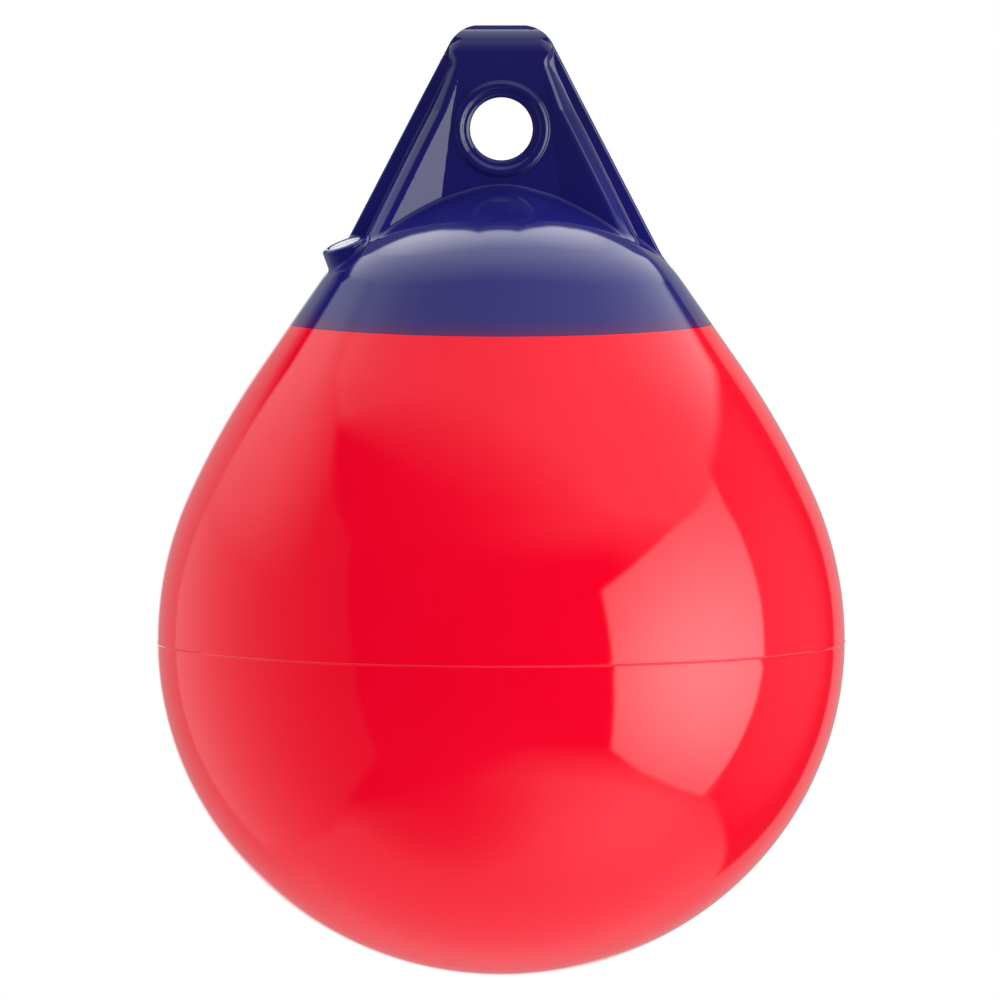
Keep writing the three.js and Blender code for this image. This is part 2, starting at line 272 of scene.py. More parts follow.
@dataclass(frozen=True)
class Outline:
    """Outline of the fender in one half plane, as radius from the axis and height."""

    ball_radius: float = 140.0
    bottom_height: float = 136.5
    equator: float = -208.0
    flank_radius: float = 146.0
    flank_end: float = math.radians(24.6)
    neck_radius: float = 335.0
    cone_angle: float = math.radians(34.9)
    colour_line: float = -81.0
    cone_top: float = -61.5
    shoulder_radius: float = 54.0
    brow_slope: float = math.radians(38)
    brow_radius: float = 160.0
    dome_slope: float = math.radians(20)
    crown_radius: float = 45.0

    @property
    def flank_center(self) -> complex:
        """Centre of the arc above the widest place."""
        return complex(self.ball_radius - self.flank_radius, self.equator)

    @property
    def neck_center(self) -> complex:
        """Centre of the wide arc that leads into the cone."""
        return self.flank_center + cmath.rect(self.flank_radius - self.neck_radius, self.flank_end)

    @property
    def shoulder_center(self) -> complex:
        """Centre of the arc above the cone."""
        top = complex(self.cone_radius(self.cone_top), self.cone_top)
        return top - cmath.rect(self.shoulder_radius, self.cone_angle)

    @property
    def brow_center(self) -> complex:
        """Centre of the flatter arc of the dome.

        Returns:
            Radius and height, as a complex number.
        """
        return self.shoulder_center - cmath.rect(
            self.brow_radius - self.shoulder_radius, QUARTER - self.brow_slope
        )

    @property
    def crown_center(self) -> complex:
        """Centre of the arc at the axis.

        Returns:
            Radius and height, as a complex number.
        """
        end = self.brow_center + cmath.rect(self.brow_radius, QUARTER - self.dome_slope)
        start = self.crown_radius * math.sin(self.dome_slope)
        edge = end.imag + (end.real - start) * math.tan(self.dome_slope)
        return complex(0, edge - self.crown_radius * math.cos(self.dome_slope))

    def cone_radius(self, height: float, inset: float = 0.0) -> float:
        """Radius of the cone at a height, for the outer face or for one that lies some way inside it.

        Args:
            height: Height.
            inset: How far the face lies inside the outer one.

        Returns:
            The radius.
        """
        end = self.neck_center + cmath.rect(self.neck_radius, self.cone_angle)
        return (
            end.real - (height - end.imag) * math.tan(self.cone_angle) - inset / math.cos(self.cone_angle)
        )

    def bottom(self, inset: float, steps: int) -> list[complex]:
        """Lower half, from the pole to the widest place.

        Args:
            inset: How far the outline lies inside the outer face.
            steps: Steps of each arc.

        Returns:
            The points, the first and the last one among them.
        """
        angles = [QUARTER * (i / steps - 1) for i in range(steps + 1)]
        width = self.ball_radius - inset
        height = self.bottom_height - inset
        points = [complex(width * math.cos(a), self.equator + height * math.sin(a)) for a in angles]
        points[0] = complex(0, points[0].imag)
        return points

    def flank(self, inset: float, steps: int) -> list[complex]:
        """Upper half, from the widest place to the start of the cone.

        Args:
            inset: How far the outline lies inside the outer face.
            steps: Steps of each arc.

        Returns:
            The points, the first and the last one among them.
        """
        low = arc(self.flank_center, self.flank_radius - inset, 0, self.flank_end, steps)
        high = arc(self.neck_center, self.neck_radius - inset, self.flank_end, self.cone_angle, steps)
        return low + high[1:]

    def dome(self, inset: float, steps: int) -> list[complex]:
        """Cap, from the top of the cone to the axis.

        Args:
            inset: How far the outline lies inside the outer face.
            steps: Steps of each arc.

        Returns:
            The points, the first and the last one among them.
        """
        brow = QUARTER - self.brow_slope
        edge = QUARTER - self.dome_slope
        points = arc(self.shoulder_center, self.shoulder_radius - inset, self.cone_angle, brow, steps)
        points += arc(self.brow_center, self.brow_radius - inset, brow, edge, steps)[1:]
        points += arc(self.crown_center, self.crown_radius - inset, edge, QUARTER, steps)
        points[-1] = complex(0, points[-1].imag)
        return points

    def cap_distance(self, radius: np.ndarray, height: np.ndarray) -> np.ndarray:
        """Distance to the cone and the dome.

        Args:
            radius: Distance of each point from the axis.
            height: Height of each point.

        Returns:
            Distance, negative inside.
        """
        place = radius + 1j * height
        brow = QUARTER - self.brow_slope
        edge = QUARTER - self.dome_slope
        shoulder, high, crown = self.shoulder_center, self.brow_center, self.crown_center

        def past(center: complex, angle: float) -> np.ndarray:
            """Whether each point lies above the ray from a centre at an angle."""
            return ((place - center) * cmath.rect(1, -angle)).imag > 0

        cone = ((place - shoulder) * cmath.rect(1, -self.cone_angle)).real - self.shoulder_radius
        flat = ((place - high) * cmath.rect(1, -edge)).real - self.brow_radius
        distance = np.where(
            past(shoulder, self.cone_angle), np.abs(place - shoulder) - self.shoulder_radius, cone
        )
        distance = np.where(past(shoulder, brow), np.abs(place - high) - self.brow_radius, distance)
        distance = np.where(past(high, edge), flat, distance)
        return np.where(past(crown, edge), np.abs(place - crown) - self.crown_radius, distance)


@dataclass(frozen=True)
class LineSway:
    """Gentle rise of the colour line towards both ends of the web, along the cone and fading away from it."""

    line: float = Outline.colour_line
    cone_angle: float = Outline.cone_angle
    rise: float = 1.85
    drop: float = 0.15
    hold: float = 2.0
    reach: float = 22.0

    def bend(self, piece: bpy.types.Object) -> None:
        """Slides the points of a piece near the colour line up or down the cone.

        Args:
            piece: The piece, in metres.
        """
        points = read(piece.data.vertices, "co", 3) / MM
        radius = np.maximum(np.hypot(points[:, 0], points[:, 1]), 1e-6)
        near = 1 - smooth_step(np.abs(points[:, 2] - self.line), self.hold, self.reach)
        shift = (self.rise * (points[:, 0] / radius) ** 2 - self.drop) * near
        points[:, :2] *= (1 - shift * math.tan(self.cone_angle) / radius)[:, None]
        points[:, 2] += shift
        piece.data.vertices.foreach_set("co", (points * MM).ravel())
        piece.data.update()

    def height(self, place: Signal) -> Signal:
        """Height of the colour line in metres, by the place on the fender.

        Args:
            place: Place on the fender in metres.

        Returns:
            The height.
        """
        x = place.dot(X_AXIS)
        y = place.dot(Y_AXIS)
        return (self.line - self.drop) * MM + self.rise * MM * x * x / (x * x + y * y)


# Finishes


@dataclass(frozen=True)
class EdgeGlow:
    """Tint of a moulded edge where the other colour shines through, strongest at the colour line."""

    line: LineSway
    reach: float
    colour: tuple[float, float, float]
    line_width: float
    line_colour: tuple[float, float, float]


@dataclass(frozen=True)
class PaintedLowerLight:
    """Painted light: a lighter tone below a height, painted in for the light that passes through the thin wall
    and bounces into the foot of the web.
    """

    start: float
    end: float
    colour: tuple[float, float, float]


@dataclass(frozen=True)
class SoftVinyl:
    """Glossy soft PVC: even colour with faint clouding, slight waves of the moulding and fine flow marks, and
    where given a lighter tone of painted light low down and the tint of the moulded edge.
    """

    slot: Slot
    colour: tuple[float, float, float]
    cloud_colour: tuple[float, float, float]
    roughness: float = 0.07
    refraction: float = 1.46
    cloud_length: float = 30.0
    cloud_range: tuple[float, float] = (0.3, 0.75)
    wave_length: float = 42.0
    wave_depth: float = 0.09
    grain_length: float = 1.5
    grain_range: tuple[float, float] = (0.9, 1.1)
    painted_lower_light: PaintedLowerLight | None = None
    glow: EdgeGlow | None = None

    def build(self) -> bpy.types.Material:
        """Makes the material.

        Returns:
            The finished material.
        """
        material, graph, place = new_material(self.slot.value)
        clouds = graph.noise(place, self.cloud_length, 3.0)
        colour = graph.mix(clouds.ramp(*self.cloud_range), rgba(self.colour), rgba(self.cloud_colour))
        # Painted light: a lighter colour below a height, for the light through the thin wall and the bounce at
        # the web's foot.
        if self.painted_lower_light:
            painted_light_share = place.dot(Z_AXIS).ramp(self.painted_lower_light.start * MM, self.painted_lower_light.end * MM)
            colour = graph.mix(painted_light_share, colour, rgba(self.painted_lower_light.colour))
        if self.glow:
            colour = self._glowing(graph, place, colour)
        grain = graph.noise(place, self.grain_length)
        waves = graph.noise(place, self.wave_length, 1.0)
        shader = graph.node("ShaderNodeBsdfPrincipled", {}, {
            "Base Color": colour,
            "Roughness": self.roughness * between(grain, self.grain_range),
            "IOR": self.refraction,
            "Normal": graph.bump(waves, self.wave_depth),
        })
        graph.node("ShaderNodeOutputMaterial", {}, {"Surface": shader})
        return material

    def _glowing(self, graph: Graph, place: Signal, colour: Signal) -> Signal:
        """Adds the tint of the moulded edge.

        Args:
            graph: The material's graph.
            place: Place on the object.
            colour: The colour away from the edge.

        Returns:
            The colour with the tint and the fine line at the edge.
        """
        above = place.dot(Z_AXIS) - self.glow.line.height(place)
        share = (above * (-1 / (self.glow.reach * MM))).exp().least(1.0)
        tinted = graph.mix(share, colour, rgba(self.glow.colour))
        line = 1 - above.ramp(0.5 * self.glow.line_width * MM, self.glow.line_width * MM)
        return graph.mix(line, tinted, rgba(self.glow.line_colour))


@dataclass(frozen=True)
class Moulded:
    """Plain moulded plastic or rubber with a fine grain, for the pieces of the valve."""

    slot: Slot
    colour: tuple[float, float, float]
    shade_colour: tuple[float, float, float]
    roughness: float
    refraction: float = 1.5
    cloud_length: float = 3.0
    grain_length: float = 0.25
    grain_depth: float = 0.01
    grain_range: tuple[float, float] = (0.85, 1.15)

    def build(self) -> bpy.types.Material:
        """Makes the material.

        Returns:
            The finished material.
        """
        material, graph, place = new_material(self.slot.value)
        clouds = graph.noise(place, self.cloud_length, 3.0)
        grain = graph.noise(place, self.grain_length)
        shader = graph.node("ShaderNodeBsdfPrincipled", {}, {
            "Base Color": graph.mix(clouds, rgba(self.colour), rgba(self.shade_colour)),
            "Roughness": self.roughness * between(grain, self.grain_range),
            "IOR": self.refraction,
            "Normal": graph.bump(grain, self.grain_depth),
        })
        graph.node("ShaderNodeOutputMaterial", {}, {"Surface": shader})
        return material


# Meshes


@dataclass
class Shell:
    """A mesh in the making: points in millimetres, faces as point numbers."""

    points: np.ndarray
    faces: list[tuple[int, ...]]

    def placed(self, matrix: Matrix) -> "Shell":
        """The same shell, moved and turned by a matrix in millimetres."""
        turned = self.points @ np.array(matrix.to_3x3()).T + np.array(matrix.translation)
        return Shell(turned, self.faces)

    def build(self, name: str, shading: Shading = Shading.EDGED) -> bpy.types.Object:
        """Makes a Blender object.

        Args:
            name: Name of the object.
            shading: How far faces may turn and still shade as one.

        Returns:
            The object, linked to the scene.
        """
        mesh = bpy.data.meshes.new(name)
        mesh.from_pydata((self.points * MM).tolist(), [], self.faces)
        mesh.update()
        piece = add_object(name, mesh)
        shade(piece, shading)
        return piece


def add_object(name: str, data: bpy.types.ID) -> bpy.types.Object:
    """Adds an object with its data to the scene.

    Args:
        name: Name of the object.
        data: Its mesh, lamp or camera.

    Returns:
        The object.
    """
    made = bpy.data.objects.new(name, data)
    bpy.context.scene.collection.objects.link(made)
    return made


def read(items: bpy.types.bpy_prop_collection, name: str, width: int = 1, kind: type = float) -> np.ndarray:
    """Reads one property of many parts of a mesh.

    Args:
        items: The vertices, loops or polygons.
        name: Name of the property.
        width: How many numbers it has.
        kind: Kind of its numbers.

    Returns:
        The numbers, in one row for each part where it has several.
    """
    values = np.zeros(len(items) * width, dtype=kind)
    items.foreach_get(name, values)
    return values.reshape(-1, width) if width > 1 else values


def shade(piece: bpy.types.Object, shading: Shading) -> None:
    """Shades a piece smooth, with its sharper edges kept."""
    piece.data.shade_smooth()
    piece.data.set_sharp_from_angle(angle=math.radians(shading.value))


def revolve(outline: list[complex], segments: int) -> Shell:
    """Revolves an outline round the Z axis.

    Args:
        outline: Radius and height of each point, as a complex number. It runs up the outside of the piece,
            and starts and ends on the axis or closes on itself.
        segments: Number of steps round the axis.

    Returns:
        The closed shell.
    """
    closed = outline[0].real > 0
    angles = np.arange(segments) * (2 * math.pi / segments)
    points: list[np.ndarray] = []
    rings: list[list[int]] = []
    count = 0
    for corner in outline:
        steps = 1 if corner.real <= 0 else segments
        ring = np.zeros((steps, 3))
        ring[:, 0] = corner.real * np.cos(angles[:steps])
        ring[:, 1] = corner.real * np.sin(angles[:steps])
        ring[:, 2] = corner.imag
        points.append(ring)
        rings.append([count + (i % steps) for i in range(segments + 1)])
        count += steps
    pairs = list(zip(rings, rings[1:]))
    if closed:
        pairs.append((rings[-1], rings[0]))
    faces = []
    for low, high in pairs:
        for i in range(segments):
            corners = dict.fromkeys((low[i], low[i + 1], high[i + 1], high[i]))
            faces.append(tuple(corners))
    return Shell(np.concatenate(points), faces)


def arc(center: complex, radius: float, start: float, end: float, steps: int) -> list[complex]:
    """Points on an arc.

    Args:
        center: Centre, as radius and height.
        radius: Radius of the arc.
        start: Angle of the first point above the horizontal.
        end: Angle of the last point.
        steps: Number of steps between them.

    Returns:
        The points, the first and the last one among them.
    """
    return [center + cmath.rect(radius, start + (end - start) * i / steps) for i in range(steps + 1)]


def cut(piece: bpy.types.Object, tool: bpy.types.Object) -> None:
    """Cuts one closed piece out of another and removes the tool.

    Args:
        piece: The piece that is cut.
        tool: The piece that is taken away.
    """
    change = piece.modifiers.new("cut", "BOOLEAN")
    change.operation = "DIFFERENCE"
    change.solver = "MANIFOLD"
    change.object = tool
    bpy.context.view_layer.update()
    result = piece.evaluated_get(bpy.context.evaluated_depsgraph_get())
    old = piece.data
    piece.data = bpy.data.meshes.new_from_object(result)
    piece.modifiers.clear()
    bpy.data.meshes.remove(old)
    bpy.data.objects.remove(tool)


# Solid forms as distances, negative inside


def meet(
    a: np.ndarray, b: np.ndarray, radius: float | np.ndarray, turn: float | np.ndarray = QUARTER
) -> np.ndarray:
    """Common part of two forms, with a round edge.

    Args:
        a: Distance to the first form.
        b: Distance to the second form.
        radius: Radius of the edge.
        turn: Angle between the outward normals of the two faces.

    Returns:
        Distance to the common part.
    """
    across = (b - a * np.cos(turn)) / np.sin(turn) + radius * np.tan(turn / 2)
    along = a + radius
    on_edge = (across > 0) & (along * np.sin(turn) > across * np.cos(turn))
    return np.where(on_edge, np.hypot(along, across) - radius, np.maximum(a, b))


def join(
    a: np.ndarray, b: np.ndarray, radius: float | np.ndarray, turn: float | np.ndarray = QUARTER
) -> np.ndarray:
    """Both forms together, with a round inner corner.

    Args:
        a: Distance to the first form.
        b: Distance to the second form.
        radius: Radius of the corner.
        turn: Angle between the outward normals of the two faces.

    Returns:
        Distance to the joined form.
    """
    return -meet(-a, -b, radius, turn)


def smooth_step(value: np.ndarray, low: float, high: float) -> np.ndarray:
    """A smooth rise from 0 to 1 between two values."""
    share = np.clip((value - low) / (high - low), 0, 1)
    return share * share * (3 - 2 * share)


@dataclass
class Sculptor:
    """Turns a form that is given as a distance into a fine closed mesh."""

    distance: Callable[[np.ndarray], np.ndarray]
    low: tuple[float, float, float]
    high: tuple[float, float, float]
    pitch: float = 1.05
    least_edge: float = 0.4
    largest_turn: float = math.radians(7)
    largest_gap: float = 0.03
    passes: int = 4
    probe: float = 0.02
    least_slope: float = 0.2
    seen_gap: float = 0.15
    seen_turn: float = 0.8

    def slope(self, points: np.ndarray) -> np.ndarray:
        """Gradient of the distance at some points.

        Args:
            points: Places in millimetres.

        Returns:
            The gradient at each point.
        """
        steps = np.eye(3) * self.probe
        return np.stack(
            [self.distance(points + step) - self.distance(points - step) for step in steps], axis=1
        ) / (2 * self.probe)

    def normals(self, points: np.ndarray) -> np.ndarray:
        """Outward normals at some points."""
        slope = self.slope(points)
        return slope / np.maximum(np.linalg.norm(slope, axis=1, keepdims=True), 1e-9)

    def settle(self, points: np.ndarray, rounds: int = 3) -> np.ndarray:
        """Moves points onto the surface.

        Args:
            points: Points near the surface.
            rounds: How often each point is moved.

        Returns:
            The moved points.
        """
        for _ in range(rounds):
            slope = self.slope(points)
            share = self.distance(points) / np.maximum((slope * slope).sum(axis=1), self.least_slope)
            step = slope * share[:, None]
            length = np.linalg.norm(step, axis=1, keepdims=True)
            points = points - step * np.minimum(1, 0.5 * self.pitch / np.maximum(length, 1e-9))
        return points

    def net(self) -> tuple[np.ndarray, np.ndarray]:
        """Spans a net of four-sided faces over the surface, with one point in each cell that it passes.

        Returns:
            Points and faces.
        """
        counts = [int((high - low) / self.pitch) + 2 for low, high in zip(self.low, self.high)]
        axes = [low + self.pitch * np.arange(count) for low, count in zip(self.low, counts)]
        grid = np.stack(np.meshgrid(*axes, indexing="ij"), axis=-1).reshape(-1, 3)
        value = self.distance(grid).reshape(counts)
        total = np.zeros((value.size, 3))
        hits = np.zeros(value.size)
        corners = []
        for axis in range(3):
            ahead, left, up = np.roll(np.eye(3, dtype=int), -axis, axis=0)
            near = value[tuple(slice(0, -step or None) for step in ahead)]
            far = value[tuple(slice(step, None) for step in ahead)]
            start = np.argwhere((near < 0) != (far < 0))
            first = value[tuple(start.T)]
            share = first / (first - value[tuple((start + ahead).T)])
            crossing = np.array(self.low) + self.pitch * (start + share[:, None] * ahead)
            cells = [start - left - up, start - up, start, start - left]
            cells = np.stack([np.ravel_multi_index(cell.T, counts) for cell in cells], axis=1)
            for cell in cells.T:
                np.add.at(total, cell, crossing)
                np.add.at(hits, cell, 1)
            corners.append(np.where((first < 0)[:, None], cells, cells[:, ::-1]))
        used = np.flatnonzero(hits)
        number = np.zeros(value.size, dtype=int)
        number[used] = np.arange(len(used))
        return total[used] / hits[used, None], number[np.concatenate(corners)]

    def split_quads(self, points: np.ndarray, quads: np.ndarray) -> np.ndarray:
        """Cuts each four-sided face along the diagonal that lies closer to the surface.

        Args:
            points: Points of the net.
            quads: Its four-sided faces.

        Returns:
            Triangles.
        """
        a, b, c, d = quads.T
        first = np.abs(self.distance((points[a] + points[c]) / 2))
        second = np.abs(self.distance((points[b] + points[d]) / 2))
        along = (first <= second)[:, None]
        one = np.where(along, np.stack([a, b, c], axis=1), np.stack([a, b, d], axis=1))
        two = np.where(along, np.stack([a, c, d], axis=1), np.stack([b, c, d], axis=1))
        return np.concatenate([one, two])

    def refine(self, points: np.ndarray, faces: np.ndarray) -> tuple[np.ndarray, np.ndarray]:
        """Splits the edges across which the surface turns or bulges.

        Args:
            points: Points on the surface.
            faces: Triangles.

        Returns:
            The new points and triangles.
        """
        pairs = np.sort(faces[:, [[0, 1], [1, 2], [2, 0]]].reshape(-1, 2), axis=1)
        edges, place = np.unique(pairs, axis=0, return_inverse=True)
        ends = points[edges]
        middle = ends.mean(axis=1)
        length = np.linalg.norm(ends[:, 1] - ends[:, 0], axis=1)
        normals = self.normals(points)[edges]
        turned = (normals[:, 0] * normals[:, 1]).sum(axis=1) < math.cos(self.largest_turn)
        chosen = (turned | (np.abs(self.distance(middle)) > self.largest_gap)) & (length > self.least_edge)
        number = np.full(len(edges), -1)
        number[chosen] = len(points) + np.arange(chosen.sum())
        points = np.concatenate([points, self.settle(middle[chosen])])
        halves = number[place.reshape(-1, 3)]
        count = (halves >= 0).sum(axis=1)
        made = [faces[count == 0]]
        for turn in range(3):
            a, b, c = np.roll(faces, -turn, axis=1).T
            ab, bc, ca = np.roll(halves, -turn, axis=1).T
            one = (count == 1) & (ab >= 0)
            two = (count == 2) & (ca < 0)
            for rule, corners in (
                (one, (a, ab, c)), (one, (ab, b, c)),
                (two, (ab, b, bc)), (two, (a, ab, bc)), (two, (a, bc, c)),
            ):
                made.append(np.stack([corner[rule] for corner in corners], axis=1))
        full = count == 3
        a, b, c = faces[full].T
        ab, bc, ca = halves[full].T
        for corners in ((a, ab, ca), (ab, b, bc), (ca, bc, c), (ab, bc, ca)):
            made.append(np.stack(corners, axis=1))
        return points, np.concatenate(made)

    def build(self) -> Shell:
        """Makes the mesh.

        Returns:
            The closed shell.
        """
        points, quads = self.net()
        points = self.settle(points)
        faces = self.split_quads(points, quads)
        for _ in range(self.passes):
            points, faces = self.refine(points, faces)
        return Shell(points, [tuple(face) for face in faces.tolist()])

    def smooth(self, piece: bpy.types.Object) -> None:
        """Gives the faces on the form its true normals, and leaves the faces of later cuts as they are.

        Args:
            piece: The piece made from the form, in metres.
        """
        shade(piece, Shading.EDGED)
        mesh = piece.data
        center = read(mesh.polygons, "center", 3) / MM
        alike = (self.normals(center) * read(mesh.polygons, "normal", 3)).sum(axis=1)
        outer = (np.abs(self.distance(center)) < self.seen_gap) & (alike > self.seen_turn)
        corner = read(mesh.loops, "vertex_index", kind=int)
        normals = self.normals(read(mesh.vertices, "co", 3) / MM)[corner]
        normals[~np.repeat(outer, read(mesh.polygons, "loop_total", kind=int))] = 0
        mesh.normals_split_custom_set(normals.tolist())


# Pieces of the fender


@dataclass(frozen=True)
class LapJoint:
    """Joint of the two colours: the thinned edge of the cap lies over the thinned edge of the ball."""

    height: float = 10.0
    skirt: float = 1.1
    gap: float = 0.3
    ball_wall: float = 2.8
    cap_wall: float = 3.4


@dataclass
class Ball:
    """The red ball, one hollow moulding with a fine parting line round its widest place."""

    outline: Outline = field(default_factory=Outline)
    lap: LapJoint = field(default_factory=LapJoint)
    sway: LineSway = field(default_factory=LineSway)
    seam_height: float = 0.28
    seam_half_width: float = 0.5
    seam_room: float = 0.75
    seam_steps: int = 8
    segments: int = 288
    steps: int = 60

    def profile(self) -> list[complex]:
        """Closed outline: outside, lap and inside.

        Returns:
            The corners of the outline.
        """
        outline, lap = self.outline, self.lap
        equator = outline.equator
        radius = outline.ball_radius
        low, high = equator - self.seam_room, equator + self.seam_room
        bottom = [point for point in outline.bottom(0, self.steps) if point.imag < low]
        flank = [point for point in outline.flank(0, self.steps // 2) if point.imag > high]
        waves = [i / self.seam_steps - 1 for i in range(2 * self.seam_steps + 1)]
        seam = [
            complex(
                radius + self.seam_height * (0.5 + 0.5 * math.cos(math.pi * wave)),
                equator + wave * self.seam_half_width,
            )
            for wave in waves
        ]
        lip = lap.skirt + lap.gap
        line = outline.colour_line
        top = line + lap.height - lap.gap
        edge = [
            complex(outline.cone_radius(line), line),
            complex(outline.cone_radius(line, lip), line),
            complex(outline.cone_radius(top, lip), top),
            complex(outline.cone_radius(top, lap.ball_wall), top),
        ]
        inside = outline.bottom(lap.ball_wall, self.steps // 2)[:-1]
        inside += outline.flank(lap.ball_wall, self.steps // 5)
        return bottom + seam + flank + edge + inside[::-1]

    def build(self, finish: SoftVinyl) -> bpy.types.Object:
        """Makes the ball.

        Args:
            finish: Finish of the ball.

        Returns:
            The piece, in place.
        """
        piece = revolve(self.profile(), self.segments).build("red_ball")
        self.sway.bend(piece)
        return dress(piece, finish.build(), "ball_body")


@dataclass
class Boss:
    """Valve boss on the shoulder, with the valve's socket. Its face is the zero of the valve's pieces."""

    outline: Outline = field(default_factory=Outline)
    rim_distance: float = 10.5
    bearing: float = math.radians(10.5)
    height: float = 4.6
    lean_out: float = math.radians(20)
    lean_front: float = math.radians(8.5)
    radius: float = 9.75
    rounding: float = 1.5
    socket_radius: float = 7.3
    socket_depth: float = 4.6
    bore_radius: float = 5.5
    bore_reach: float = 30.0
    segments: int = 96

    @property
    def axis(self) -> Vector:
        """Direction of the boss, pointing out.

        Returns:
            A vector of length 1.
        """
        out = math.cos(self.lean_out)
        return Vector((
            -math.sin(self.lean_out),
            -math.sin(self.lean_front) * out,
            math.cos(self.lean_front) * out,
        ))

    @property
    def matrix(self) -> Matrix:
        """Turns and moves a piece made on the Z axis into the boss.

        Returns:
            The matrix, in millimetres.
        """
        outline = self.outline
        reach = outline.cone_radius(outline.cone_top) - self.rim_distance
        center = outline.shoulder_center
        seat = Vector((
            -reach * math.cos(self.bearing),
            -reach * math.sin(self.bearing),
            center.imag + math.sqrt(outline.shoulder_radius**2 - (reach - center.real) ** 2),
        ))
        turn = Z_AXIS.rotation_difference(self.axis)
        return Matrix.Translation(seat + self.axis * self.height) @ turn.to_matrix().to_4x4()

    def distance(self, points: np.ndarray) -> np.ndarray:
        """Distance to the outside of the boss.

        Args:
            points: Places in millimetres.

        Returns:
            Distance, negative inside.
        """
        matrix = self.matrix
        local = (points - np.array(matrix.translation)) @ np.array(matrix.to_3x3())
        side = np.hypot(local[:, 0], local[:, 1]) - self.radius
        return meet(side, local[:, 2], self.rounding)

    def socket(self) -> Shell:
        """Socket and bore of the valve.

        Returns:
            The closed shell.
        """
        return revolve([
            complex(0, -self.bore_reach),
            complex(self.bore_radius, -self.bore_reach),
            complex(self.bore_radius, -self.socket_depth),
            complex(self.socket_radius, -self.socket_depth),
            complex(self.socket_radius, self.socket_depth),
            complex(0, self.socket_depth),
        ], self.segments).placed(self.matrix)


@dataclass(frozen=True)
class Rib:
    """Face of the web: a flat plate, then a facet that rises to a ridge, and an outer face that falls off."""

    plate: float = 11.0
    crease_half_width: float = 20.3
    crease_lean: float = math.radians(7.2)
    crease_bend: float = 0.06
    crease_rounding: float = 3.5
    bend_height: float = 7.5
    facet_rise: float = 0.342
    foot_rise: float = 0.5
    foot_start: float = -28.0
    foot_end: float = -60.0
    ridge_half_width: float = 27.75
    ridge_lean: float = 0.5
    ridge_bend: float = 0.137
    ridge_rounding: float = 3.0
    flare: float = 8.0
    flare_start: float = 25.0
    flare_end: float = 39.9
    outer_fall: float = 1.2

    def front(self, x: np.ndarray, y: np.ndarray, z: np.ndarray) -> np.ndarray:
        """Distance to the face, which is the same on both sides of the web.

        Args:
            x: Distance from the middle of the web.
            y: Distance from the plane of the web.
            z: Height.

        Returns:
            Distance, negative inside.
        """
        at_foot = smooth_step(z, self.foot_start, self.foot_end)
        rise = self.facet_rise + (self.foot_rise - self.facet_rise) * at_foot
        plate = y - self.plate
        above_bend = np.maximum(z - self.bend_height, 0)
        crease = self.crease_half_width - z * math.tan(self.crease_lean) - self.crease_bend * above_bend
        ridge = self.ridge_half_width - self.ridge_lean * z + self.ridge_bend * above_bend
        ridge += self.flare * smooth_step(z, self.flare_start, self.flare_end)
        facet = (plate - (x - crease) * rise) / np.hypot(1, rise)
        outer = plate - (ridge - crease) * rise + (x - ridge) * self.outer_fall
        outer /= math.hypot(1, self.outer_fall)
        inner = join(plate, facet, self.crease_rounding, np.arctan(rise))
        return meet(inner, outer, self.ridge_rounding, np.arctan(rise) + math.atan(self.outer_fall))


@dataclass(frozen=True)
class Fin:
    """Thin fin along each sloping edge of the web, which grows thicker until it merges with the head."""

    half_span: float = 38.8
    lean: float = math.radians(27.4)
    half_thickness: float = 3.6
    taper: float = 0.18
    taper_reach: float = 8.0
    rounding: float = 1.1
    growth: float = 3.5
    growth_start: float = 8.0
    growth_end: float = 28.0
    merge_room: float = 20.0
    merge_start: float = 24.0
    merge_end: float = 30.5

    def edge(self, x: np.ndarray, z: np.ndarray) -> np.ndarray:
        """Distance to the sloping edge."""
        return (x - self.half_span + z * math.tan(self.lean)) * math.cos(self.lean)

    def face(self, side: np.ndarray, y: np.ndarray, z: np.ndarray) -> np.ndarray:
        """Distance to the front of the fin.

        Args:
            side: Distance to the sloping edge.
            y: Distance from the plane of the web.
            z: Height.

        Returns:
            Distance, negative inside.
        """
        thickness = self.half_thickness - self.taper * np.maximum(side, -self.taper_reach)
        return y - thickness - self.growth * smooth_step(z, self.growth_start, self.growth_end)

    def merged(self, fin: np.ndarray, front: np.ndarray, z: np.ndarray) -> np.ndarray:
        """Holds the upper end of the fin inside the front of the head.

        Args:
            fin: Distance to the fin.
            front: Distance to the front of the web and the head.
            z: Height.

        Returns:
            Distance, negative inside.
        """
        room = self.merge_room * (1 - smooth_step(z, self.merge_start, self.merge_end))
        return np.maximum(fin, front - room)


@dataclass(frozen=True)
class Groove:
    """Groove between a fin and the ribs. It narrows upwards and ends under the head."""

    width: float = 5.75
    narrowing: float = 0.026
    end_taper: float = 1.9
    taper_start: float = 10.0
    top: float = 29.5
    end_radius: float = 5.0
    rounding: float = 1.0
    fade: float = 2.5

    def wall(self, side: np.ndarray, z: np.ndarray, lean: float) -> np.ndarray:
        """Distance to what the groove leaves: the core between the grooves and the head above them.

        Args:
            side: Distance to the sloping edge of the web.
            z: Height.
            lean: Lean of that edge.

        Returns:
            Distance, negative inside.
        """
        width = self.width - self.narrowing * z
        width = width - self.end_taper * smooth_step(z, self.taper_start, self.top)
        return join(side + width * math.cos(lean), self.top - z, self.end_radius, QUARTER + lean)

    def bottom_rounding(self, z: np.ndarray) -> np.ndarray:
        """Radius along the bottom of the groove, which goes to nothing at its end."""
        return self.rounding * smooth_step(-z, -self.top, self.fade - self.top)


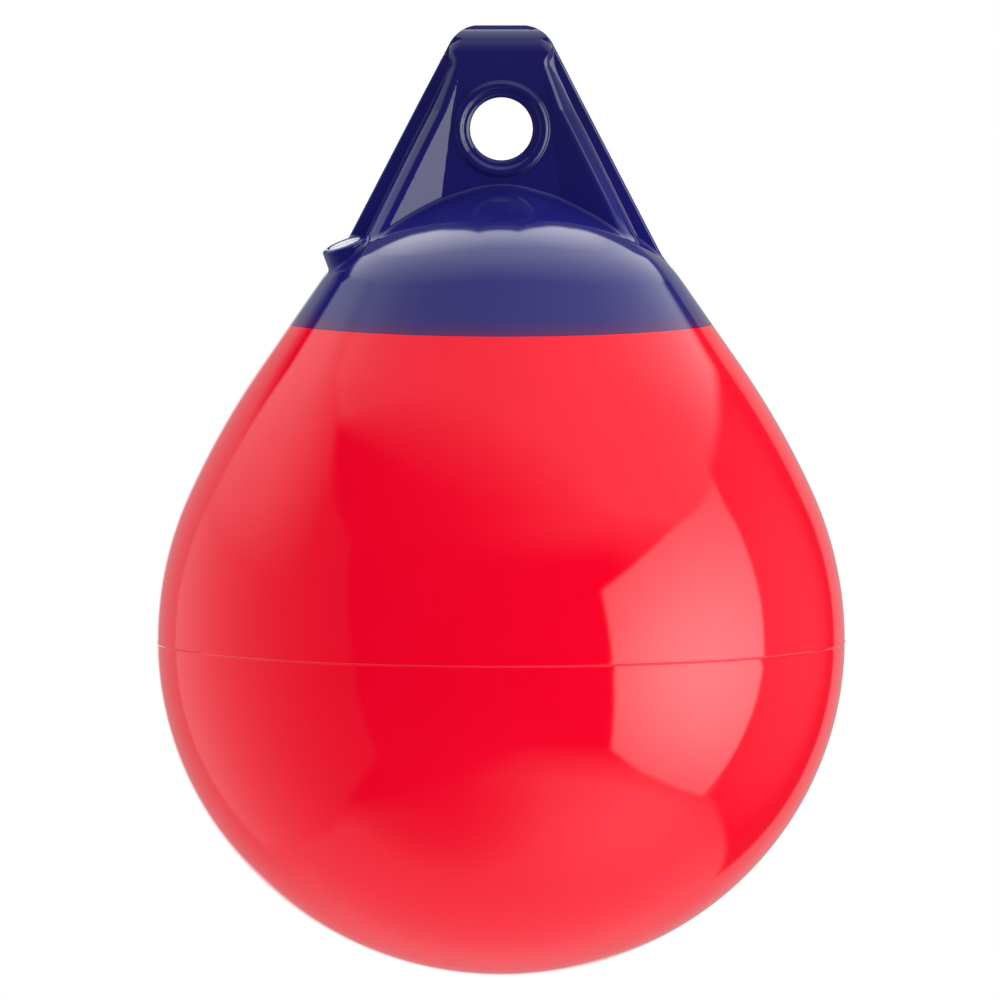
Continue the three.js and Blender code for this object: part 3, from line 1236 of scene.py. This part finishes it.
@dataclass(frozen=True)
class Head:
    """Solid head above the rope eye, whose front arches back to a narrow top."""

    top: float = 41.9
    corner_radius: float = 14.0
    side_rounding: float = 4.5
    edge_rounding: float = 1.2
    nose_radius: float = 15.5
    nose_start: float = 27.0

    def nose(self, y: np.ndarray, z: np.ndarray, plate: float) -> np.ndarray:
        """Distance to the arched front.

        Args:
            y: Distance from the plane of the web.
            z: Height.
            plate: Half the thickness of the web.

        Returns:
            Distance, negative inside.
        """
        arch = np.hypot(y + self.nose_radius - plate, z - self.nose_start) - self.nose_radius
        return np.where(z > self.nose_start, arch, -self.nose_radius)


@dataclass(frozen=True)
class RopeEye:
    """Round rope eye with softened lips, in a slightly raised disc that a bead runs round."""

    radius: float = 12.65
    lip_radius: float = 2.2
    disc_height: float = 0.4
    disc_rounding: float = 0.3
    bead_radius: float = 17.4
    bead_bar: float = 2.1
    bead_sink: float = 0.5
    bead_rounding: float = 0.5

    def opened(self, web: np.ndarray, center_distance: np.ndarray, plate: np.ndarray) -> np.ndarray:
        """Adds the disc and the bead to the web and opens the eye in it.

        Args:
            web: Distance to the web.
            center_distance: Distance from the axis of the eye.
            plate: Distance to the plate of the web.

        Returns:
            Distance, negative inside.
        """
        disc = np.maximum(center_distance - self.bead_radius, plate - self.disc_height)
        bead = np.hypot(center_distance - self.bead_radius, plate + self.bead_sink) - self.bead_bar
        ringed = join(join(web, disc, self.disc_rounding), bead, self.bead_rounding)
        return meet(ringed, self.radius - center_distance, self.lip_radius)


@dataclass(frozen=True)
class Web:
    """Tent-shaped web on the dome, with its ribs, fins, grooves, head and rope eye."""

    rib: Rib = Rib()
    fin: Fin = Fin()
    groove: Groove = Groove()
    head: Head = Head()
    eye: RopeEye = RopeEye()
    rib_rounding: float = 2.1
    blend_below: float = 2.0
    blend_above: float = 4.0
    corner_blend: float = 5.0

    def distance(self, points: np.ndarray) -> np.ndarray:
        """Distance to the web.

        Args:
            points: Places in millimetres.

        Returns:
            Distance, negative inside.
        """
        x, y, z = np.abs(points[:, 0]), np.abs(points[:, 1]), points[:, 2]
        fin, groove, head = self.fin, self.groove, self.head
        plate = self.rib.plate
        side = fin.edge(x, z)
        top = z - head.top
        outside = meet(side, top, head.corner_radius, QUARTER - fin.lean)
        core = np.maximum(outside, groove.wall(side, z, fin.lean))
        in_head = smooth_step(z, groove.top - self.blend_below, groove.top + self.blend_above)
        edge = self.rib_rounding + (head.side_rounding - self.rib_rounding) * in_head
        on_top = smooth_step(top - side, -self.corner_blend, self.corner_blend)
        edge += (head.edge_rounding - edge) * on_top
        front = np.maximum(self.rib.front(x, y, z), head.nose(y, z, plate))
        blade = fin.merged(meet(outside, fin.face(side, y, z), fin.rounding), front, z)
        body = join(meet(core, front, edge), blade, groove.bottom_rounding(z))
        return self.eye.opened(body, np.hypot(x, z), y - plate)


@dataclass
class RopeHold:
    """The blue top, one moulding: domed cap, web, ribs, fins, head, ringed rope eye and valve boss."""

    outline: Outline = field(default_factory=Outline)
    lap: LapJoint = field(default_factory=LapJoint)
    sway: LineSway = field(default_factory=LineSway)
    boss: Boss = field(default_factory=Boss)
    web: Web = field(default_factory=Web)
    web_foot: float = 1.2
    boss_foot: float = 1.2
    foot_depth: float = 2.0
    room: float = 3.0
    segments: int = 256

    def distance(self, points: np.ndarray) -> np.ndarray:
        """Distance to the outside of the whole rope hold.

        Args:
            points: Places in millimetres.

        Returns:
            Distance, negative inside.
        """
        cap = self.outline.cap_distance(np.hypot(points[:, 0], points[:, 1]), points[:, 2])
        cap = join(cap, self.boss.distance(points), self.boss_foot)
        return join(cap, self.web.distance(points), self.web_foot)

    def closed_distance(self, points: np.ndarray) -> np.ndarray:
        """Distance to the rope hold when it is closed by a flat foot just under the colour line."""
        return np.maximum(self.distance(points), self.outline.colour_line - self.foot_depth - points[:, 2])

    def hollow(self) -> Shell:
        """Air space under the cap, with the room below the colour line.

        Returns:
            The closed shell.
        """
        outline, lap = self.outline, self.lap
        line = outline.colour_line
        below = line - lap.height
        wide = outline.cone_radius(below) + lap.height
        top = line + lap.height
        return revolve([
            complex(0, below),
            complex(wide, below),
            complex(wide, line),
            complex(outline.cone_radius(line, lap.skirt), line),
            complex(outline.cone_radius(top, lap.skirt), top),
            complex(outline.cone_radius(top, lap.cap_wall), top),
            *outline.dome(lap.cap_wall, 10),
        ], self.segments)

    def build(self, finish: SoftVinyl) -> bpy.types.Object:
        """Makes the rope hold.

        Args:
            finish: Finish of the rope hold.

        Returns:
            The piece, in place.
        """
        line = self.outline.colour_line
        reach = self.outline.cone_radius(line) + 2 * self.room
        low = (-reach, -reach, line - self.room)
        high = (reach, reach, self.web.head.top + self.room)
        piece = Sculptor(self.closed_distance, low, high).build().build("blue_rope_hold", Shading.SMOOTH)
        cut(piece, self.hollow().build("hollow"))
        cut(piece, self.boss.socket().build("socket"))
        Sculptor(self.distance, low, high).smooth(piece)
        self.sway.bend(piece)
        return dress(piece, finish.build(), "rope_hold")


@dataclass
class Valve:
    """Valve in the boss: a flanged bush with a loose flap in its foot, and a slotted screw on a washer."""

    boss: Boss = field(default_factory=Boss)
    gap: float = 0.3
    flange: float = 1.2
    bush_length: float = 14.2
    bush_bore: float = 2.7
    foot_bore: float = 2.3
    foot: float = 1.1
    chamber_radius: float = 4.1
    chamber_height: float = 1.9
    flap: float = 1.3
    washer: float = 0.9
    head: float = 1.4
    screw_length: float = 9.5
    slot_width: float = 1.8
    slot_depth: float = 0.8
    chamfer: float = 0.25
    segments: int = 96

    @property
    def flange_bottom(self) -> float:
        """Underside of the flange of the bush."""
        return -self.boss.socket_depth + self.gap

    @property
    def bush_foot(self) -> float:
        """Lower end of the bush."""
        return self.flange_bottom - self.bush_length + self.flange

    @property
    def washer_bottom(self) -> float:
        """Underside of the washer."""
        return self.flange_bottom + self.flange + self.gap

    @property
    def screw_seat(self) -> float:
        """Underside of the screw's head."""
        return self.washer_bottom + self.washer + self.gap

    def bush_outline(self) -> list[complex]:
        """Outline of the flanged bush, with the chamber of the flap.

        Returns:
            The outline, with the face of the boss at zero.
        """
        radius = self.boss.bore_radius - self.gap
        wide = self.boss.socket_radius - self.gap
        ease = self.chamfer
        low, flange = self.bush_foot, self.flange_bottom
        chamber = low + self.foot
        return [
            complex(self.foot_bore, low),
            complex(radius - ease, low),
            complex(radius, low + ease),
            complex(radius, flange),
            complex(wide, flange),
            complex(wide, flange + self.flange - ease),
            complex(wide - ease, flange + self.flange),
            complex(self.bush_bore + ease, flange + self.flange),
            complex(self.bush_bore, flange + self.flange - ease),
            complex(self.bush_bore, chamber + self.chamber_height),
            complex(self.chamber_radius, chamber + self.chamber_height),
            complex(self.chamber_radius, chamber),
            complex(self.foot_bore, chamber),
        ]

    def disc_outline(self, inner: float, outer: float, low: float, high: float) -> list[complex]:
        """Outline of a disc or ring with softened edges.

        Args:
            inner: Radius of the hole, or 0.
            outer: Outer radius.
            low: Lower face.
            high: Upper face.

        Returns:
            The outline.
        """
        ease = self.chamfer
        return [
            complex(inner, low),
            complex(outer - ease, low),
            complex(outer, low + ease),
            complex(outer, high - ease),
            complex(outer - ease, high),
            complex(inner, high),
        ]

    def screw_outline(self) -> list[complex]:
        """Outline of the screw: shank, head and softened rim.

        Returns:
            The outline, with the face of the boss at zero.
        """
        shank = self.bush_bore - self.gap
        wide = self.boss.socket_radius - 2 * self.gap
        low, top = self.screw_seat - self.screw_length, self.screw_seat + self.head
        ease = self.chamfer
        return [
            complex(0, low),
            complex(shank - 2 * ease, low),
            complex(shank, low + 2 * ease),
            complex(shank, self.screw_seat),
            complex(wide - ease, self.screw_seat),
            complex(wide, self.screw_seat + ease),
            *arc(complex(wide - 2 * ease, top - 2 * ease), 2 * ease, 0, QUARTER, 5),
            complex(0, top),
        ]

    def slot_shell(self) -> Shell:
        """Room of the screwdriver slot.

        Returns:
            The closed shell.
        """
        half = Vector((self.boss.socket_radius + 1, self.slot_width / 2, self.slot_depth))
        top = self.screw_seat + self.head
        signs = [(x, y, z) for z in (-1, 1) for y in (-1, 1) for x in (-1, 1)]
        points = np.array([(x * half.x, y * half.y, top + z * half.z) for x, y, z in signs])
        faces = [(0, 2, 3, 1), (4, 5, 7, 6), (0, 1, 5, 4), (2, 6, 7, 3), (0, 4, 6, 2), (1, 3, 7, 5)]
        return Shell(points, faces)

    def turned(self, name: str, outline: list[complex]) -> bpy.types.Object:
        """Makes one round piece from its outline, seated in the boss."""
        return revolve(outline, self.segments).placed(self.boss.matrix).build(name)

    def build(self, finishes: dict[Slot, Moulded]) -> list[bpy.types.Object]:
        """Makes the four pieces of the valve.

        Args:
            finishes: Finish of each piece, by its slot.

        Returns:
            The pieces, in place.
        """
        flap_bottom = self.bush_foot + self.foot + self.gap
        flap = self.disc_outline(0, self.chamber_radius - self.gap, flap_bottom, flap_bottom + self.flap)
        rim = self.boss.socket_radius - 3 * self.gap
        washer = self.disc_outline(self.bush_bore, rim, self.washer_bottom, self.washer_bottom + self.washer)
        screw = self.turned("valve_screw", self.screw_outline())
        cut(screw, self.slot_shell().placed(self.boss.matrix).build("slot"))
        shade(screw, Shading.EDGED)
        pieces = (
            (self.turned("valve_bush", self.bush_outline()), Slot.BUSH_NYLON, "valve_insert"),
            (self.turned("flap_disc", flap), Slot.FLAP_RUBBER, "valve_flap"),
            (self.turned("screw_washer", washer), Slot.WASHER_RUBBER, "plug_washer"),
            (screw, Slot.PLUG_NYLON, "valve_plug"),
        )
        return [dress(piece, finishes[slot].build(), node) for piece, slot, node in pieces]


def dress(piece: bpy.types.Object, material: bpy.types.Material, node: str) -> bpy.types.Object:
    """Gives a piece its material and its place on the body.

    Args:
        piece: The piece.
        material: Its material.
        node: The node that the piece stands for.

    Returns:
        The same piece.
    """
    piece.data.materials.clear()
    piece.data.materials.append(material)
    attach(piece, BODY)
    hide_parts(node)
    return piece


# Studio


def toward(bearing: float, rise: float) -> Vector:
    """Direction with a bearing from the camera's side towards +X, and a rise above the level, in degrees.

    Args:
        bearing: Turn round the Z axis.
        rise: Angle above the level.

    Returns:
        A vector of length 1.
    """
    bearing, rise = math.radians(bearing), math.radians(rise)
    level = math.cos(rise)
    return Vector((math.sin(bearing) * level, -math.cos(bearing) * level, math.sin(rise)))


@dataclass(frozen=True)
class Panel:
    """A flat light panel of the studio, as the corners of its outline in bearing and rise."""

    corners: tuple[tuple[float, float], ...]
    softness: float = 0.015

    def mask(self, ray: Signal) -> Signal:
        """1 for the directions that hit the panel and 0 for the others.

        Args:
            ray: Direction of the ray.

        Returns:
            The mask.
        """
        center = sum((toward(*corner) for corner in self.corners), Vector())
        mask = None
        for here, there in zip(self.corners, self.corners[1:] + self.corners[:1]):
            side = toward(*here).cross(toward(*there)).normalized()
            side = side if side.dot(center) > 0 else -side
            inside = ray.dot(side).ramp(-self.softness / 2, self.softness / 2)
            mask = mask.least(inside) if mask else inside
        return mask


@dataclass(frozen=True)
class Glow:
    """Light that grows towards one direction of the studio, between two values of the cosine to it."""

    bearing: float
    rise: float
    low: float
    high: float
    level: float = 1.0

    def light(self, ray: Signal) -> Signal:
        """Brightness in the direction of a ray."""
        return self.level * ray.dot(toward(self.bearing, self.rise)).ramp(self.low, self.high)


@dataclass(frozen=True)
class Bloom:
    """Light that fades off smoothly round one direction of the studio."""

    bearing: float
    rise: float
    sharpness: float
    level: float

    def light(self, ray: Signal) -> Signal:
        """Brightness in the direction of a ray."""
        closeness = ray.dot(toward(self.bearing, self.rise))
        return ((closeness - 1) * self.sharpness).exp() * self.level


@dataclass(frozen=True)
class CeilingEdge:
    """Lower border of the ceiling, which is lower at the right, higher at the front left and soft in front."""

    height: float = 0.43
    tilt: float = 0.096
    lift: float = 0.38
    lift_bearing: float = -40.0
    softness: float = 0.03
    front_softness: float = 0.55

    def share(self, ray: Signal) -> Signal:
        """Share of the ceiling in the light of a ray.

        Args:
            ray: Direction of the ray.

        Returns:
            1 inside the border and 0 outside it.
        """
        lifted = self.lift * ray.dot(toward(self.lift_bearing, 0)).most(0.0)
        above = ray.dot(Z_AXIS) + self.tilt * ray.dot(X_AXIS) - lifted - self.height
        softness = self.softness - self.front_softness * ray.dot(Y_AXIS).least(0.0)
        return (above / softness).most(0.0).least(1.0)


@dataclass(frozen=True)
class FloorEdge:
    """Border of the floor, which is in sight low at the right and behind."""

    side: tuple[float, float, float] = (0.618, 0.405, -0.675)
    side_range: tuple[float, float] = (-0.02, 0.14)
    rise_range: tuple[float, float] = (-0.52, -0.7)

    def share(self, ray: Signal) -> Signal:
        """Share of the floor in the light of a ray."""
        return ray.dot(Z_AXIS).ramp(*self.rise_range) * ray.dot(Vector(self.side)).ramp(*self.side_range)


@dataclass(frozen=True)
class KeyLight:
    """Light of the key panel, as a spot on a wall that faces the fender, fading off across and upwards."""

    bearing: float = 66.0
    drop: float = 0.12
    level: float = 5.6
    fall_across: float = 1.9
    fall_up: float = 2.5
    least_ahead: float = 0.05

    def light(self, ray: Signal) -> Signal:
        """Brightness in the direction of a ray.

        Args:
            ray: Direction of the ray.

        Returns:
            The brightness.
        """
        ahead = ray.dot(toward(self.bearing, 0)).most(self.least_ahead)
        across = ray.dot(toward(self.bearing + 90, 0)) / ahead
        up = ray.dot(Z_AXIS) / ahead + self.drop
        return self.level / (1 + self.fall_across * across * across + self.fall_up * up * up)


@dataclass
class Studio:
    """Plain soft studio: light panels round the fender, a key lamp, a pale floor and the camera."""

    key_panel: Panel = Panel((
        (33, 18), (50, 26.5), (66, 30.5), (80, 33), (100, 31), (96, -5), (94.5, -38.5),
        (75, -40), (55, -38), (39.5, -32),
    ))
    left_panel: Panel = Panel((
        (-60, 30), (-52, 0), (-48, -45), (-96, -50), (-140, -45), (-141, 0), (-139, 30),
        (-118, 41), (-96, 43),
    ), 0.03)
    web_shade: Panel = Panel((
        (-155.5, 20), (-155.5, 47), (-158.8, 56.8), (-167.5, 64.4), (180, 65.1), (166, 64.6),
        (158, 57.3), (154, 47), (154, 20),
    ), 0.012)
    web_shade_level: float = 0.15
    dark_panel: Panel = Panel(((98, 33), (96, 0), (95, -38), (147, -33), (147, 20)), 0.03)
    dark_level: float = 0.05
    dark_glow: Glow = Glow(96, 0, 0.7, 1.0, 0.4)
    back_panel: Panel = Panel(((-168, -18), (-168, 20), (175, 20), (175, -18)), 0.1)
    back_level: float = 1.5
    left_level: float = 0.1
    left_core: float = 0.75
    left_core_direction: tuple[float, float] = (-125, -10)
    left_top: Glow = Glow(-135, 0, 0.45, 0.8)
    ceiling_level: float = 0.78
    ceiling_glows: tuple[Glow, ...] = (
        Glow(90, 0, -0.1, 0.5, 0.25), Glow(180, 50, 0.55, 0.9, 1.2), Glow(180, 50, 0.912, 0.972, 3.2),
    )
    low_back: Glow = Glow(180, 0, -0.3, 0.5, 0.42)
    side_glow: Bloom = Bloom(48, 38, 7, 0.65)
    floor_level: float = 0.58
    floor_bounce: Bloom = Bloom(60, -50, 10, 0.75)
    floor_dip: Glow = Glow(-30, -50, 0.84, 1.0, 0.5)
    ceiling_edge: CeilingEdge = CeilingEdge()
    floor_edge: FloorEdge = FloorEdge()
    key_light: KeyLight = KeyLight()
    camera_place: tuple[float, float, float] = (-0.1102, -3.35, 0.0423)
    camera_aim: tuple[float, float, float] = (-0.0002, 0.0, -0.1509)
    frame_width: float = 0.4066
    sensor_width: float = 36.0
    floor_drop: float = 0.5
    floor_radius: float = 2.0
    floor_fade: tuple[float, float] = (0.45, 0.98)
    fill_level: float = 0.7
    fill_right: float = 0.1
    fill_up: float = 0.7
    fill_down: float = 0.5
    fill_behind: float = 2.1
    key_power: float = 18.0
    key_size: float = 1.6
    key_direction: tuple[float, float] = (58, 16)
    key_distance: float = 2.4

    def ceiling(self, ray: Signal) -> Signal:
        """Brightness of the light boxes overhead."""
        return sum((glow.light(ray) for glow in self.ceiling_glows), self.ceiling_level)

    def floor(self, ray: Signal) -> Signal:
        """Brightness of the floor, with the bounce of the key light."""
        return self.floor_level + self.floor_bounce.light(ray) - self.floor_dip.light(ray)

    def left_light(self, ray: Signal) -> Signal:
        """Brightness of the dim panel at the left.

        Args:
            ray: Direction of the ray.

        Returns:
            The brightness.
        """
        core = ray.dot(toward(*self.left_core_direction)).most(0.0) ** 3
        top = ray.dot(Z_AXIS).ramp(0.25, 0.6) * self.left_top.light(ray)
        return self.left_level + self.left_core * core + top

    def panels(self, ray: Signal) -> Signal:
        """Brightness of the studio by direction, as the glossy surfaces see it.

        Args:
            ray: Direction of the ray.

        Returns:
            The brightness.
        """
        z = ray.dot(Z_AXIS)
        light = self.low_back.light(ray) * z.ramp(0.4, 0.3)
        light = light.toward(self.ceiling(ray), self.ceiling_edge.share(ray))
        light = light.most(self.side_glow.light(ray) * z.ramp(0.46, 0.62))
        light = light.toward(self.floor(ray), self.floor_edge.share(ray))
        light = light.toward(self.left_light(ray), self.left_panel.mask(ray))
        light = light.toward(self.dark_level + self.dark_glow.light(ray), self.dark_panel.mask(ray))
        light = light.toward(self.back_level, self.back_panel.mask(ray))
        light = light.toward(self.web_shade_level, self.web_shade.mask(ray))
        return light.toward(self.key_light.light(ray), self.key_panel.mask(ray))

    def fill(self, ray: Signal) -> Signal:
        """Brightness of the even fill that the diffuse surfaces see, by direction.

        Args:
            ray: Direction of the ray.

        Returns:
            The brightness.
        """
        rise = ray.dot(Z_AXIS)
        right = self.fill_right * ray.dot(toward(90, 0))
        upright = self.fill_up * rise.most(0.0) + self.fill_down * (-1 * rise).most(0.0)
        return self.fill_level * (1 + right + upright + self.fill_behind * ray.dot(toward(180, 0)).most(0.0))

    def build_world(self) -> None:
        """Makes the world: white to the camera, the panels to glossy rays and an even fill to the others."""
        world = bpy.data.worlds.new("studio")
        bpy.context.scene.world = world
        world.use_nodes = True
        world.cycles.sampling_method = "NONE"
        graph = Graph(world.node_tree)
        ray = graph.node("ShaderNodeTexCoord", output="Generated")
        path = graph.node("ShaderNodeLightPath", output="Is Camera Ray")
        panels = graph.node("ShaderNodeBackground", {}, {"Color": self.panels(ray), "Strength": 1.0})
        fill = graph.node("ShaderNodeBackground", {}, {"Color": self.fill(ray), "Strength": 1.0})
        white = graph.node("ShaderNodeBackground", {}, {"Color": (1, 1, 1, 1), "Strength": 1.0})
        lit = graph.node("ShaderNodeMixShader", {}, {0: path.other("Is Diffuse Ray"), 1: panels, 2: fill})
        seen = graph.node("ShaderNodeMixShader", {}, {0: path, 1: lit, 2: white})
        graph.node("ShaderNodeOutputWorld", {}, {"Surface": seen})

    def build_lamp(self) -> None:
        """Makes the key lamp, a soft box at the right that glossy surfaces don't see twice."""
        lamp = bpy.data.lights.new("key_lamp", "AREA")
        lamp.shape = "SQUARE"
        lamp.size = self.key_size
        lamp.energy = self.key_power
        holder = add_object("key_lamp", lamp)
        aim = Vector(self.camera_aim)
        holder.location = aim + toward(*self.key_direction) * self.key_distance
        holder.rotation_euler = (aim - holder.location).to_track_quat("-Z", "Y").to_euler()
        holder.visible_glossy = False
        holder.visible_camera = False

    def build_floor(self) -> bpy.types.Object:
        """Makes the pale floor, whose edge fades out.

        Returns:
            The floor.
        """
        mesh = bmesh.new()
        bmesh.ops.create_circle(mesh, cap_ends=True, segments=96, radius=self.floor_radius)
        data = bpy.data.meshes.new("floor")
        mesh.to_mesh(data)
        mesh.free()
        floor = add_object("floor", data)
        floor.location = (0, 0, cad_box[0][2] - self.floor_drop)
        material, graph, place = new_material("pale_floor")
        distance = graph.node("ShaderNodeVectorMath", {"operation": "LENGTH"}, {0: place}, "Value")
        edge = 1 - distance.ramp(*(share * self.floor_radius for share in self.floor_fade))
        paint = graph.node("ShaderNodeBsdfDiffuse", {}, {"Color": (0.9, 0.9, 0.9, 1)})
        clear = graph.node("ShaderNodeBsdfTransparent")
        mixed = graph.node("ShaderNodeMixShader", {}, {0: edge, 1: clear, 2: paint})
        graph.node("ShaderNodeOutputMaterial", {}, {"Surface": mixed})
        data.materials.append(material)
        floor.visible_glossy = False
        return floor

    def build_camera(self) -> None:
        """Makes the camera."""
        lens = bpy.data.cameras.new("camera")
        camera = add_object("camera", lens)
        camera.location = self.camera_place
        sight = Vector(self.camera_aim) - camera.location
        camera.rotation_euler = sight.to_track_quat("-Z", "Y").to_euler()
        lens.sensor_width = self.sensor_width
        lens.lens = lens.sensor_width * sight.length / self.frame_width
        lens.clip_end = 50
        bpy.context.scene.camera = camera

    def build(self) -> None:
        """Makes the whole studio."""
        bpy.context.scene.view_settings.view_transform = "Standard"
        self.build_camera()
        self.build_world()
        self.build_lamp()
        self.build_floor()


RED = SoftVinyl(
    Slot.RED_VINYL,
    colour=(0.86, 0.0005, 0.021),
    cloud_colour=(0.83, 0.0004, 0.018),
)
BLUE = SoftVinyl(
    Slot.BLUE_VINYL,
    colour=(0.0118, 0.0105, 0.098),
    cloud_colour=(0.0112, 0.0098, 0.092),
    # Painted light: the lower web and the whole cap are painted a lighter blue.
    painted_lower_light=PaintedLowerLight(start=2.0, end=-36.0, colour=(0.0132, 0.0118, 0.146)),
    glow=EdgeGlow(
        line=LineSway(),
        reach=2.6,
        colour=(0.11, 0.0085, 0.075),
        line_width=0.5,
        line_colour=(0.02, 0.008, 0.09),
    ),
)
VALVE_FINISHES = {
    Slot.BUSH_NYLON: Moulded(Slot.BUSH_NYLON, (0.66, 0.66, 0.62), (0.6, 0.6, 0.56), 0.4),
    Slot.PLUG_NYLON: Moulded(Slot.PLUG_NYLON, (0.72, 0.74, 0.8), (0.66, 0.68, 0.75), 0.3),
    Slot.WASHER_RUBBER: Moulded(Slot.WASHER_RUBBER, (0.012, 0.012, 0.014), (0.02, 0.02, 0.022), 0.6),
    Slot.FLAP_RUBBER: Moulded(Slot.FLAP_RUBBER, (0.04, 0.04, 0.045), (0.05, 0.05, 0.055), 0.65),
}


def main() -> None:
    """Builds the studio and the fender, and reports each piece."""
    logging.basicConfig(level=logging.INFO, format="%(name)s: %(message)s")
    Studio().build()
    pieces = [Ball().build(RED), RopeHold().build(BLUE), *Valve().build(VALVE_FINISHES)]
    for piece in pieces:
        log.info("%s: %d faces", piece.name, len(piece.data.polygons))


if __name__ == "__main__":
    main()
